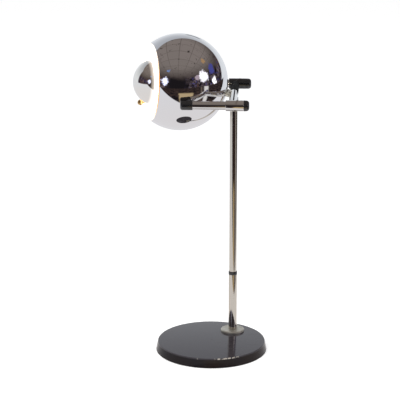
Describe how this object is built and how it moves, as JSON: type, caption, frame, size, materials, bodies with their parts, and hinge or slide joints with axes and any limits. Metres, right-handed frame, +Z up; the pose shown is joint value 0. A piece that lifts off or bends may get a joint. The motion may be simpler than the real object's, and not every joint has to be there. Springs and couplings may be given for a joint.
{
  "type": "eyeball table lamp",
  "caption": "Table lamp with a polished ball shade that turns in a cradle of two bars on a telescopic pole, over a round black base.",
  "frame": {"origin": "centre of the base's underside, on the table", "axes": "+Z up along the pole, X to the right and Y away in the usual view, bars along -X from the pole"},
  "size_m": [0.2312, 0.2409, 0.5459],
  "materials": {
    "chrome": "polished",
    "satin_steel": "satin",
    "black_enamel": "semi-gloss",
    "black_plastic": "gloss",
    "cast_iron": "raw",
    "felt": "matte",
    "steel": "zinc plated",
    "brass": "satin",
    "white_enamel": "white enamel",
    "porcelain": "glazed",
    "white_plastic": "satin",
    "nylon": "satin",
    "rubber": "matte",
    "glass": "clear",
    "mirror_crown": "silvered"
  },
  "bodies": {
    "stand": {"base_cover": "black_enamel", "base_weight": "cast_iron", "base_plate": "steel", "base_felt": "felt", "cord_gland": "rubber", "pole_flange": "satin_steel", "pole_foot": "steel", "foot_washer": "steel", "foot_nut": "steel", "lower_tube": "chrome", "pole_ring": "black_plastic"},
    "mast": {"upper_tube": "chrome", "guide_plug": "nylon"},
    "arm": {"head_hub": "chrome", "hub_grub_screw": "steel", "cross_tube": "chrome", "near_sleeve": "chrome", "near_rod": "chrome", "near_tip_cap": "black_plastic", "near_end_ring": "black_plastic", "near_end_cap": "black_plastic", "far_sleeve": "black_plastic", "far_rod": "chrome", "far_tip_cap": "black_plastic", "far_end_ring": "black_plastic", "far_end_cap": "black_plastic", "cradle_pads": "nylon", "sleeve_screws": "steel", "ball_stud": "steel", "stud_seat": "nylon", "friction_washer": "nylon", "spring_washer": "steel", "stud_nut": "steel"},
    "guide": {"slot_guide": "nylon"},
    "shade": {"shade_ball": "chrome", "shade_liner": "white_enamel", "shade_rim": "chrome", "holder_bridge": "satin_steel", "holder_shell": "white_plastic", "holder_screws": "steel", "holder_core": "porcelain", "holder_thread": "brass", "holder_contact": "brass", "holder_ring": "white_plastic", "holder_insulator": "white_plastic", "bulb_glass": "glass", "bulb_crown": "mirror_crown", "bulb_cap": "brass", "bulb_tip": "brass", "bulb_stem": "glass", "bulb_filament": "steel", "switch_body": "white_plastic", "switch_nut": "steel", "switch_bracket": "white_enamel"},
    "knob": {"switch_knob": "brass", "switch_stem": "brass"}
  },
  "joints": [
    {"name": "height_slide", "type": "slide", "parent": "stand", "child": "mast", "axis": [0, 0, 1], "range_m": [-0.04, 0]},
    {"name": "head_swivel", "type": "hinge", "parent": "mast", "child": "arm", "pos_m": [0.0355, 0.0475, 0.443], "axis": [0, 0, 1], "range_deg": [-170, 170]},
    {"name": "shade_roll", "type": "hinge", "parent": "arm", "child": "guide", "pos_m": [-0.0568, 0.0475, 0.4636], "axis": [-0.976, 0, 0.2178], "range_deg": [-170, 170]},
    {"name": "shade_tilt", "type": "hinge", "parent": "guide", "child": "shade", "pos_m": [-0.0568, 0.0475, 0.4636], "axis": [0.1935, -0.4596, 0.8668], "range_deg": [-75, 3]},
    {"name": "switch_press", "type": "slide", "parent": "shade", "child": "knob", "axis": [0.9519, 0.302, -0.0523], "range_m": [0, 0.003], "stiffness_N_per_m": 700, "springref_m": -0.0015}
  ]
}
